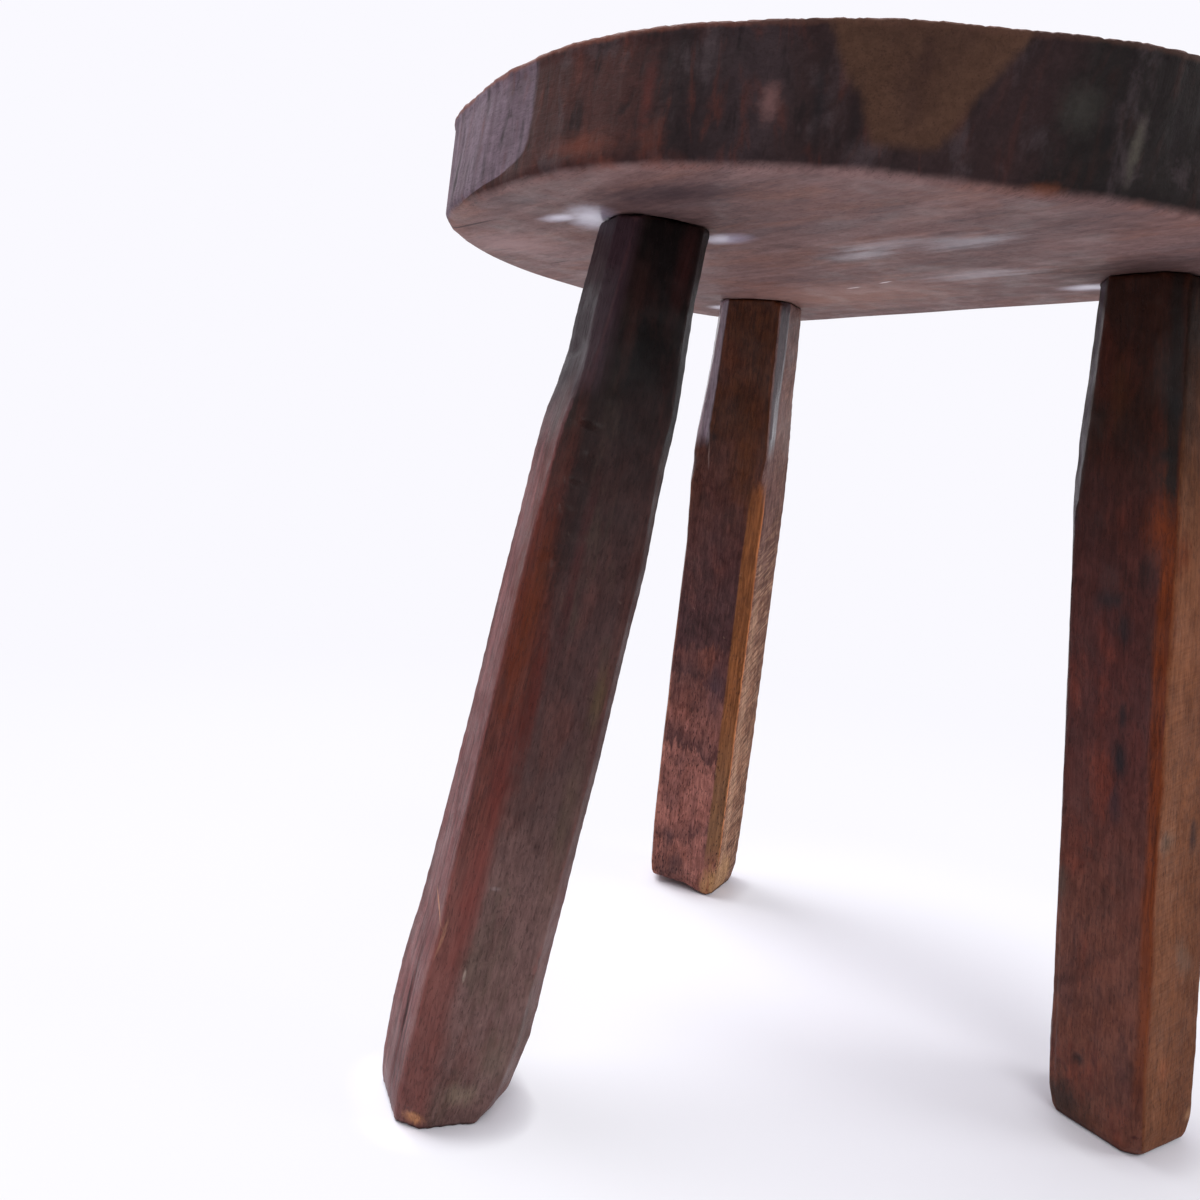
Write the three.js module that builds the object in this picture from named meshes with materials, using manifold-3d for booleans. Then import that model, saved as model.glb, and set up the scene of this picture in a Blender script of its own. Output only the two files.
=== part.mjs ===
// Milking stool: a thick half-round plank seat on three hewn legs.
// Each leg is whittled to a round tenon that goes through the seat and is spread by a wedge.
// Millimetres, +Z up, origin on the floor under the middle of the stool's outer box.
// +Y is the way the seat's flat back faces; the single front leg stands at -Y.
import * as THREE from 'three';
import { mergeVertices } from 'three/addons/utils/BufferGeometryUtils.js';
import Module from 'manifold-3d';

const wasm = await Module();
wasm.setup();
const { Manifold, Mesh } = wasm;

// Seat plank. Until the last step everything is set out round the middle of the seat's round.
const seatHeight = 326;
const seatThick = 36;
const seatRadius = 143;
const seatBack = 76;
const seatBackHollow = 1.5;
const seatArris = 2.2;

// How far each corner of the round side stands out from the seat radius, underneath and on top,
// from the left back corner round the front to the right back corner
const underSwell = [0, 3, 1, -1, -3, -2.5, -1, 1, 3, 1.5, 0.5, 2.5, 3, 0.5, -1.5, -4, 1.5, 6, 6, 4, 2];
const topSwell = [0, 2, 1, 0, -2, -1, 0, 2, 2, -2, -1.5, 0, 0, 0, 1, 1.5, 7, 8, 6, 4, 2];

// Corners of the flat back between its two ends
const backCorners = 3;

// Tenons and their wedges
const tenonRadius = 13.5;
const tenonSides = 40;
const fitGap = 0.3;
const wedgeTopThick = 4.5;
const wedgeTipThick = 1.2;
const wedgeDepth = 25;

// Legs. bearing is where a leg's middle meets the underside, in degrees from +X round the middle
// of the seat's round, and edge is how far that is from the round side. splay is the lean in degrees and
// splayBearing the way it leans out. turn is the direction of the leg's outer face.
// A section is its share of the leg's height, width across the outer face, depth, and the flats
// on its four corners: outer left, outer right, inner right, inner left. ease is how far the
// foot's four sides are pared in at the floor, in the order left, outer, right, inner.
const legs = {
  leg_front: {
    wedge: 'wedge_front',
    bearing: -86.8,
    edge: 54.4,
    splay: 9.6,
    splayBearing: -81.8,
    turn: -12,
    sections: [
      [0, 39, 40, 6, 8.5, 7, 4],
      [0.14, 38, 42, 5.5, 7.5, 7, 4],
      [0.38, 38, 39, 9.5, 4.5, 7, 8],
      [0.62, 39.5, 35.5, 6.5, 4, 7, 10],
      [0.74, 38.5, 34, 3.5, 5.5, 7, 10],
      [0.79, 37, 33.5, 2, 4, 6, 9],
      [0.86, 34, 33, 4, 4.5, 6.5, 10.5],
      [1, 31.5, 31.5, 6, 4.5, 7, 9.5],
    ],
    ease: [2, 2.5, 7, 3],
    easeHeight: 26,
  },
  leg_back_left: {
    wedge: 'wedge_back_left',
    bearing: 157.6,
    edge: 57.6,
    splay: 9.1,
    splayBearing: 138.9,
    turn: -61,
    sections: [
      [0, 37.5, 37.5, 7.5, 5, 6, 7],
      [0.14, 38, 38.5, 7, 5, 6, 7],
      [0.38, 38, 39, 7, 6, 6, 7],
      [0.62, 37.2, 38, 7.5, 7.5, 6, 7],
      [0.7, 36.8, 37.5, 5.5, 6, 6, 6],
      [0.765, 36.2, 36, 2, 2, 6.5, 4],
      [0.86, 35, 33, 4, 4, 8.5, 7],
      [1, 33, 31, 4.5, 5.5, 10, 7],
    ],
    ease: [1.5, 1.5, 2, 2],
    easeHeight: 9,
  },
  leg_back_right: {
    wedge: 'wedge_back_right',
    bearing: 26.7,
    edge: 33.9,
    splay: 7,
    splayBearing: 57,
    turn: -90,
    sections: [
      [0, 38.5, 38.5, 8, 3.5, 6, 7],
      [0.14, 38.5, 40.5, 8, 2, 6, 7],
      [0.38, 39.5, 38.5, 7.5, 2.5, 6.5, 7],
      [0.62, 39.5, 39, 7.5, 4, 7, 7],
      [0.74, 39, 39.5, 7, 5, 7, 7],
      [0.8, 38, 38.5, 8, 5.5, 4, 5.5],
      [0.88, 36.3, 36.5, 9, 6, 6.5, 6.5],
      [1, 33.5, 33.5, 10, 6, 7, 7],
    ],
    ease: [2, 2, 2, 2],
    easeHeight: 10,
  },
};

// The pared end of a foot curves in: shares of its height and of its depth at each ring
const easeCurve = [
  [0, 1],
  [0.3, 0.45],
  [1, 0],
];

// Looks
const seatColour = new THREE.Color(0.24, 0.13, 0.1);
const legColour = new THREE.Color(0.2, 0.1, 0.07);
const wedgeColour = new THREE.Color(0.3, 0.18, 0.12);
const varnishRoughness = 0.4;

const seatUnder = seatHeight - seatThick;
const legHeight = seatUnder - fitGap;
const degree = Math.PI / 180;

// The point at a distance and a bearing in degrees from a point, seen from above
function pointFrom(start, distance, bearing) {
  const way = new THREE.Vector2(Math.cos(bearing * degree), Math.sin(bearing * degree));
  return start.clone().addScaledVector(way, distance);
}

// Where a leg's middle line meets the seat's underside, and where it meets the floor
function legTop(leg) {
  return pointFrom(new THREE.Vector2(), seatRadius - leg.edge, leg.bearing);
}

function legFoot(leg) {
  return pointFrom(legTop(leg), seatUnder * Math.tan(leg.splay * degree), leg.splayBearing);
}

// A closed solid of stacked rings. place(ring, corner) gives each corner, rings from the bottom
// up and corners anticlockwise from above; corner is null for the middle of an end ring.
function ringSolid(rings, corners, place) {
  const shape = new THREE.CylinderGeometry(1, 1, 1, corners, rings - 1);
  const positions = shape.attributes.position;
  const point = new THREE.Vector3();
  for (let i = 0; i < positions.count; i++) {
    point.fromBufferAttribute(positions, i);
    const ring = Math.round((point.y + 0.5) * (rings - 1));
    const onAxis = Math.hypot(point.x, point.z) < 0.5;
    const turns = Math.atan2(point.x, point.z) / (2 * Math.PI) + 1;
    const corner = onAxis ? null : Math.round(turns * corners) % corners;
    positions.setXYZ(i, ...place(ring, corner));
  }
  return toSolid(shape);
}

function toSolid(geometry) {
  geometry.deleteAttribute('normal');
  geometry.deleteAttribute('uv');
  const merged = mergeVertices(geometry, 1e-4);
  return new Manifold(new Mesh({
    numProp: 3,
    vertProperties: new Float32Array(merged.attributes.position.array),
    triVerts: new Uint32Array(merged.index.array),
  }));
}

function toMesh(name, solid, material) {
  const cut = solid.getMesh();
  const geometry = new THREE.BufferGeometry();
  geometry.setAttribute('position', new THREE.BufferAttribute(new Float32Array(cut.vertProperties), 3));
  geometry.setIndex(new THREE.BufferAttribute(new Uint32Array(cut.triVerts), 1));
  geometry.computeVertexNormals();
  const mesh = new THREE.Mesh(geometry, material);
  mesh.name = name;
  return mesh;
}

function varnishedWood(colour) {
  return new THREE.MeshStandardMaterial({ color: colour, roughness: varnishRoughness, metalness: 0 });
}

// Seat outline: corners round the side, then along the slightly hollow back
const cornerAngle = Math.asin(seatBack / seatRadius);
const sideSweep = Math.PI + 2 * cornerAngle;
const sideCorners = underSwell.length;

function outlinePoint(corner, swell, inset) {
  if (corner < sideCorners) {
    const angle = Math.PI - cornerAngle + (sideSweep * corner) / (sideCorners - 1);
    const reach = seatRadius + swell[corner] - inset;
    return [reach * Math.cos(angle), Math.min(reach * Math.sin(angle), seatBack - inset)];
  }
  const share = (corner - sideCorners + 1) / (backCorners + 1);
  const halfBack = seatRadius * Math.cos(cornerAngle);
  const hollow = seatBackHollow * Math.sin(Math.PI * share);
  return [halfBack * (1 - 2 * share), seatBack - hollow - inset];
}

function seatBlank() {
  const levels = [
    { z: seatUnder, swell: underSwell, inset: seatArris },
    { z: seatUnder + seatArris, swell: underSwell, inset: 0 },
    { z: seatHeight - seatArris, swell: topSwell, inset: 0 },
    { z: seatHeight, swell: topSwell, inset: seatArris },
  ];
  return ringSolid(levels.length, sideCorners + backCorners, (ring, corner) => {
    const level = levels[ring];
    if (corner === null) return [0, 0, level.z];
    return [...outlinePoint(corner, level.swell, level.inset), level.z];
  });
}

// A leg's section at a share of its height, between the two named sections around it
function sectionAt(leg, share) {
  const upper = Math.max(1, leg.sections.findIndex((section) => section[0] >= share));
  const [low, high] = [leg.sections[upper - 1], leg.sections[upper]];
  const mix = (share - low[0]) / (high[0] - low[0]);
  return low.map((value, i) => value + (high[i] - value) * mix);
}

// Rings of a leg: the pared foot first, then every named section above it
function legRings(leg) {
  const foot = easeCurve.map(([height, depth]) => ({
    share: (height * leg.easeHeight) / legHeight,
    ease: leg.ease.map((side) => side * depth),
  }));
  const shank = leg.sections
    .filter((section) => section[0] * legHeight > leg.easeHeight)
    .map((section) => ({ share: section[0], ease: [0, 0, 0, 0] }));
  return [...foot, ...shank];
}

function legShank(leg) {
  const rings = legRings(leg);
  const outward = new THREE.Vector2(Math.cos(leg.turn * degree), Math.sin(leg.turn * degree));
  const across = new THREE.Vector2(-outward.y, outward.x);
  const [top, foot] = [legTop(leg), legFoot(leg)];
  return ringSolid(rings.length, 8, (ring, corner) => {
    const { share, ease } = rings[ring];
    const middle = foot.clone().lerp(top, share);
    const z = share * legHeight;
    if (corner === null) return [middle.x, middle.y, z];
    const [, width, depth, outerLeft, outerRight, innerRight, innerLeft] = sectionAt(leg, share);
    const [easeLeft, easeOuter, easeRight, easeInner] = ease;
    const left = -width / 2 + easeLeft;
    const right = width / 2 - easeRight;
    const outer = depth / 2 - easeOuter;
    const inner = -depth / 2 + easeInner;
    const [u, v] = [
      [inner + innerLeft, left],
      [outer - outerLeft, left],
      [outer, left + outerLeft],
      [outer, right - outerRight],
      [outer - outerRight, right],
      [inner + innerRight, right],
      [inner, right - innerRight],
      [inner, left + innerLeft],
    ][corner];
    return [middle.x + u * outward.x + v * across.x, middle.y + u * outward.y + v * across.y, z];
  });
}

// A leg's own axes: Y up its middle, Z along the wedge, which crosses the seat's grain, and
// its origin where the leg meets the seat's underside
function legAxes(leg) {
  const top = new THREE.Vector3(...legTop(leg), seatUnder);
  const axis = top.clone().sub(new THREE.Vector3(...legFoot(leg), 0)).normalize();
  const wide = new THREE.Vector3(0, 1, 0).addScaledVector(axis, -axis.y).normalize();
  const thick = new THREE.Vector3().crossVectors(axis, wide);
  return new THREE.Matrix4().makeBasis(thick, axis, wide).setPosition(top);
}

// Length of the leg's middle line inside the seat
function reachInSeat(leg) {
  return seatThick / Math.cos(leg.splay * degree);
}

// A round rod on the leg's middle line, from below the underside to above the seat's top
function rod(leg, radius) {
  const reach = reachInSeat(leg);
  const overrun = tenonRadius;
  const shape = new THREE.CylinderGeometry(radius, radius, reach + 2 * overrun, tenonSides);
  shape.translate(0, reach / 2, 0);
  shape.applyMatrix4(legAxes(leg));
  return toSolid(shape);
}

// The wedge's tapered blade, grown by a gap on every side for the slot it sits in
function blade(leg, gap) {
  const reach = reachInSeat(leg);
  const overrun = tenonRadius;
  const taper = (wedgeTopThick - wedgeTipThick) / wedgeDepth;
  const tip = wedgeTipThick / 2 + gap;
  const crown = (wedgeTopThick + taper * overrun) / 2 + gap;
  const profile = new THREE.Shape([
    new THREE.Vector2(-tip, reach - wedgeDepth - gap),
    new THREE.Vector2(tip, reach - wedgeDepth - gap),
    new THREE.Vector2(crown, reach + overrun),
    new THREE.Vector2(-crown, reach + overrun),
  ]);
  const width = 2 * (tenonRadius + overrun);
  const shape = new THREE.ExtrudeGeometry(profile, { depth: width, bevelEnabled: false });
  shape.translate(0, 0, -width / 2);
  shape.applyMatrix4(legAxes(leg));
  return toSolid(shape);
}

// Everything above the seat's top, where tenons and wedges are sawn off flush
function aboveSeat() {
  const size = 4 * seatRadius;
  const shape = new THREE.BoxGeometry(size, size, seatHeight);
  shape.translate(0, 0, 1.5 * seatHeight);
  return toSolid(shape);
}

const stool = new THREE.Group();
stool.name = 'milking_stool';
const seatWood = varnishedWood(seatColour);
const legWood = varnishedWood(legColour);
const wedgeWood = varnishedWood(wedgeColour);

let seat = seatBlank();
for (const [name, leg] of Object.entries(legs)) {
  const tenon = rod(leg, tenonRadius);
  seat = seat.subtract(rod(leg, tenonRadius + fitGap));
  const whole = legShank(leg).add(tenon).subtract(blade(leg, fitGap)).subtract(aboveSeat());
  const wedge = tenon.intersect(blade(leg, 0)).subtract(aboveSeat());
  stool.add(toMesh(name, whole, legWood));
  stool.add(toMesh(leg.wedge, wedge, wedgeWood));
}
stool.add(toMesh('seat', seat, seatWood));

// Stand the middle of the outer box over the origin
const boxMiddle = new THREE.Box3().setFromObject(stool, true).getCenter(new THREE.Vector3());
for (const mesh of stool.children) mesh.geometry.translate(-boxMiddle.x, -boxMiddle.y, 0);

export default stool;
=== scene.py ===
"""A farmhouse milking stool: hewn, dark-stained and varnished wood, worn on its corners."""

import math

import bmesh
import bpy
from mathutils import Matrix, Vector, noise


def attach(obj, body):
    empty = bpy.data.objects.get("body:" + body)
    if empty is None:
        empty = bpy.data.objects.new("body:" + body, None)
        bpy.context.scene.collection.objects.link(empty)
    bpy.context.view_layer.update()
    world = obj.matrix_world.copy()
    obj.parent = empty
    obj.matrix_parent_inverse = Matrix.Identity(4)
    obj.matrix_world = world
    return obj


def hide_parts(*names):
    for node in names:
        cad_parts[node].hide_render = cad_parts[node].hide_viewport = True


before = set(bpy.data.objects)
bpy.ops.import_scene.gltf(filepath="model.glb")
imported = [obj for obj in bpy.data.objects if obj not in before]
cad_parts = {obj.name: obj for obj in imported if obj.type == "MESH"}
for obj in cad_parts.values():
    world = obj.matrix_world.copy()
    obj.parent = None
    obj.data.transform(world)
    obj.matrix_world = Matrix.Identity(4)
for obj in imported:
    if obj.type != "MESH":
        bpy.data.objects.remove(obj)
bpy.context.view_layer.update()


def mm(*sizes):
    """Sizes written in millimetres, as metres."""
    return tuple(size / 1000 for size in sizes)


def colour(red, green, blue):
    """A colour written as it looks on screen, 0 to 255, as the shader's light values."""
    def light(value):
        share = value / 255
        return share / 12.92 if share <= 0.04045 else ((share + 0.055) / 1.055) ** 2.4
    return (light(red), light(green), light(blue), 1.0)


def mark(middle, size, tint, share=0.9, core=0.0, turn=(0, 0, 0)):
    """A mark in the wood, or a patch of painted shade: its middle and size in millimetres, its tint
    and how strongly it shows, how much of it is solid, and its turn in radians."""
    return mm(*middle), mm(*size), turn, colour(*tint), share, core


# The seat, in metres as in the solids. Each corner of its rim stands out from the radius by so
# many millimetres, underneath and on top, from the left back corner round the front to the right.
SEAT_TOP = 0.326
SEAT_UNDER = 0.290
SEAT_RADIUS = 0.143
ROUND_MIDDLE = Vector((-0.00391, 0.0296))
RIM_START = 147.9
UNDER_SWELL = (0, 3, 1, -1, -3, -2.5, -1, 1, 3, 1.5, 0.5, 2.5, 3, 0.5, -1.5, -4, 1.5, 6, 6, 4, 2)
TOP_SWELL = (0, 2, 1, 0, -2, -1, 0, 2, 2, -2, -1.5, 0, 0, 0, 1, 1.5, 7, 8, 6, 4, 2)

# The rim is worked outside this distance from the round's middle, easing in; the holes lie inside
RIM_INSIDE = 0.11
RIM_EASE = 0.025

# Size of the small faces that the seat and the legs are worked in, and over how much height the
# filled corners and the trimmed sides of a leg ease in and out
SEAT_CELL = 0.0013
LEG_CELL = 0.0008
FILL_EASE = 0.012
TRIM_EASE = 0.025

# Each leg: where its middle meets the underside (bearing round the seat's round, and how far in
# from its edge), its lean and the way it leans, and the direction its outer face looks. Marks and
# dents are placed from the middle of its foot, in millimetres: out of the outer face, to that
# face's right, and up the leg. Flats on the corners are given by degrees round the leg from the
# middle of its outer face, and by how far up they begin and end; borders are ragged lower edges
# of darker clouds; fills build a corner's flat out to a sharper corner; trims move a side out or
# in, by degrees round the leg and from and to how far up; rocks is the gap under a foot's edge.
LEG_FRONT = {
    "bearing": -86.8, "edge": 0.0544, "splay": 9.6, "leans": -81.8, "turn": -12,
    "stained": 0.36, "rasped": 20, "scratched": 0.15, "rasp_depth": 0.4, "right_dry": 0.2,
    "left_band": (-62, -29, 7), "right_band": (35, 55, 3), "sway": 10,
    "left_flat": 0.75, "right_flat": 0.2, "flat_height": (-0.1, 0.2, 0.03),
    "neck_band": (35, 55, 3), "neck_dry": 0.0, "dry_edge": 0.0, "right_fades": (0.05, 0.2),
    "neck": 0.235, "neck_gloss": 0.1, "pared": 0.034, "flecked": 0.3, "rocks": 0.0,
    "left_share": 0.9, "right_share": 0.6,
    "tones": {
        "top": (18, 11, 10), "middle": (78, 54, 52), "foot": (124, 95, 90), "warm": (100, 60, 54),
        "cool": (84, 72, 60), "cloud": (60, 43, 40), "stain": (46, 30, 28), "knee": (30, 18, 17),
        # Its pale mauve left tones are in part the wood's colour and in part a painted highlight, the
        # backdrop's grazing sheen on that face
        "left": (138, 84, 84), "left_deep": (104, 58, 58), "left_top": (60, 42, 48),
        "right": (96, 72, 66), "right_deep": (64, 44, 42), "right_top": (44, 32, 32),
        "scratch": (146, 118, 108), "flat": (104, 52, 42), "flat_deep": (82, 40, 34),
        "flat_low": (124, 72, 66), "line": (126, 74, 70), "worn": (132, 84, 78), "pore": (32, 20, 20),
    },
    "borders": [(0.095, -0.5, 0.05, 0.25)],
    "marks": [
        mark((16, 7.8, 279), (6, 5, 26), (52, 24, 22), 0.8),
        mark((16.3, -5, 259), (6, 3, 30), (54, 32, 28), 0.7),
        mark((8, -18.5, 186), (9, 4, 66), (92, 42, 34), 0.9),
        mark((6, -18.8, 228), (8, 4, 30), (64, 40, 38), 0.8),
        mark((14.5, -14.5, 212), (6, 4, 44), (80, 37, 31), 0.7),
        mark((13.5, -15, 158), (9, 7, 46), (94, 38, 17), 0.9),
        mark((14.5, -14, 172), (6, 4, 34), (86, 38, 18), 0.8),
        mark((17, -10, 204), (6, 5.5, 60), (36, 23, 22), 0.8, core=0.3),
        mark((18.1, -4.6, 178), (5, 3, 40), (66, 30, 30), 0.8),
        mark((17.4, -10.5, 146), (4, 2.6, 40), (70, 28, 20), 0.9),
        mark((18.5, -8.6, 134), (6, 4, 36), (84, 32, 24), 0.9),
        mark((16.5, -12, 112), (6, 6, 26), (92, 40, 34), 0.85),
        mark((18.2, -12.8, 74), (6, 5, 46), (118, 58, 52), 0.7),
        mark((18.8, 12.5, 141), (5, 4, 16), (92, 78, 52), 0.5),
        mark((19, 11, 98), (5, 5, 40), (92, 78, 60), 0.35),
        mark((4, -19, 12), (16, 5, 26), (92, 60, 60), 0.7),
        mark((7, -18.8, 65), (10, 3, 0.7), (176, 122, 92), core=0.35, turn=(0, 0.54, 0)),
        mark((15, -17.6, 57), (0.6, 3, 9), (160, 114, 92), 0.6, core=0.3),
        mark((20.6, -10.2, 49), (3, 0.7, 3), (166, 146, 134), core=0.3),
        mark((20, -6.8, 77), (3, 2.6, 1), (128, 108, 106), core=0.2),
        mark((2, -18.8, 24), (0.9, 4, 34), (44, 26, 26), 0.8, core=0.3, turn=(0, -0.12, 0)),
        mark((7, -18.7, 22), (0.8, 4, 30), (48, 28, 28), 0.7, core=0.2, turn=(0, -0.1, 0)),
        mark((11, -18.2, 14), (0.8, 4, 20), (44, 28, 28), 0.7, core=0.2),
        mark((15.4, -13.4, 0.8), (4.4, 4.6, 3.2), (186, 130, 90), core=0.4),
        mark((19.4, -1, 10), (4, 8, 6), (134, 118, 100), 0.6),
        mark((20.3, 6, 23), (4, 8, 14), (108, 96, 82), 0.45),
    ],
    "dents": [
        (mm(1.3, -18, 249), mm(9, 5, 4.5), 0.0011),
        (mm(16.7, -11, 226), mm(6, 7, 4.8), 0.0013),
        (mm(16.9, -7.5, 217), mm(6, 7, 4.4), 0.001),
        (mm(17, -10.6, 208), mm(6, 8, 4.8), 0.0014),
        (mm(17.2, -13, 199), mm(6, 6, 4.4), 0.0013),
        (mm(17.4, -8, 191), mm(6, 8, 5), 0.0011),
        (mm(17.6, -12, 182), mm(6, 6, 4.6), 0.0013),
        (mm(17.8, -8.5, 174), mm(6, 7, 5), 0.0009),
        (mm(2, -19, 26), mm(1.5, 3, 34), 0.0005),
        (mm(15.5, -13.4, 0), mm(4, 5, 3), 0.0008),
    ],
    "fills": [
        {"side": -1, "up": (0.235, 0.31), "reach": 0.0045, "fill": 0.0016},
    ],
    "trims": [(-90, 0.222, 0.262, -0.0012), (-75, -0.03, 0.062, 0.0011), (45, -0.03, 0.275, 0.0008),
              (50, -0.03, 0.032, 0.0009)],
}

LEG_BACK_LEFT = {
    "bearing": 157.6, "edge": 0.0576, "splay": 9.1, "leans": 138.9, "turn": -61,
    "stained": 0.4, "rasped": 75, "scratched": 0.7, "rasp_depth": 1.6, "right_dry": 0.9,
    "left_band": (-57, -34, 1.5), "right_band": (33.5, 55, 1.2), "sway": 4,
    "left_flat": 0.0, "right_flat": 1.0, "flat_height": (0.024, 0.21, 0.01),
    "neck_band": (45, 61, 2), "neck_dry": 0.0, "dry_edge": 0.6, "right_fades": (0.08, 0.22),
    "neck": 0.231, "neck_gloss": 1.0, "pared": 0.0, "flecked": 0.9, "rocks": 0.003,
    "left_share": 0.7, "right_share": 1.0,
    "tones": {
        "top": (84, 46, 26), "middle": (112, 70, 66), "foot": (184, 121, 107), "warm": (148, 84, 66),
        "cool": (104, 68, 68), "cloud": (84, 54, 56), "stain": (60, 40, 40), "knee": (76, 62, 66),
        "left": (92, 66, 68), "left_deep": (64, 44, 46), "left_top": (134, 116, 126),
        "right": (208, 156, 124), "right_deep": (122, 84, 68), "right_top": (138, 106, 100),
        "scratch": (222, 180, 148), "flat": (154, 96, 56), "flat_deep": (132, 80, 46),
        "flat_low": (134, 98, 70), "line": (244, 156, 100), "worn": (156, 96, 68), "pore": (40, 22, 22),
    },
    "borders": [(0.133, 0.2, 0.075, 0.75), (0.114, -0.35, 0.012, 0.7), (0.079, -0.18, 0.016, 0.75),
                (0.072, -0.1, 0.005, 0.4), (0.032, 0.3, 0.012, 0.5)],
    "marks": [
        mark((16.5, 8, 224), (6, 9, 34), (106, 58, 24), 0.7),
        mark((15.2, 15.4, 222), (4, 2.2, 28), (146, 86, 46), 0.8, core=0.3),
        mark((17, 12.5, 206), (4, 4, 18), (124, 72, 38), 0.6),
        mark((19, 8, 116), (5, 7, 20), (84, 60, 68), 0.6),
        mark((16.6, 16, 8), (6, 6, 15), (186, 140, 96), 0.8, core=0.5),
        mark((6, 18.9, 8), (14, 4, 18), (210, 166, 122), 0.75, core=0.5),
        mark((18.9, -6, 8), (6, 20, 20), (82, 56, 54), 0.6),
        mark((18.9, -8, 29), (4, 5, 10), (64, 44, 48), 0.7),
        mark((18.8, -3, 17), (4, 6, 9), (70, 50, 52), 0.6),
        mark((18.7, -2, 3), (4, 20, 3), (132, 92, 70), 0.5),
        mark((17.4, -10.5, 226), (3, 0.5, 10), (138, 112, 104), 0.7, core=0.3, turn=(0.12, 0, 0)),
        mark((17.4, -9, 234), (4, 4, 3.5), (34, 20, 18), 0.8),
    ],
    "dents": [
        (mm(17.4, -13, 232), mm(6, 6, 8), 0.0010),
        (mm(17.5, 14, 203), mm(4, 5, 9), 0.0006),
        (mm(12, 17.5, 212), mm(5, 5, 12), 0.0006),
        (mm(17, 15, 116), mm(4, 4, 9), 0.0005),
    ],
    "fills": [
        {"side": -1, "up": (-0.02, 0.222), "reach": 0.0052, "fill": 0.0027},
        {"side": 1, "up": (-0.02, 0.02), "reach": 0.0038, "fill": 0.0022},
        {"side": 1, "up": (0.21, 0.31), "reach": 0.0036, "fill": 0.0021},
        {"side": -1, "up": (0.222, 0.31), "reach": 0.003, "fill": 0.0012},
    ],
    "trims": [(-70, -0.03, 0.275, 0.0008), (90, -0.03, 0.275, -0.0007)],
}

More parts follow.
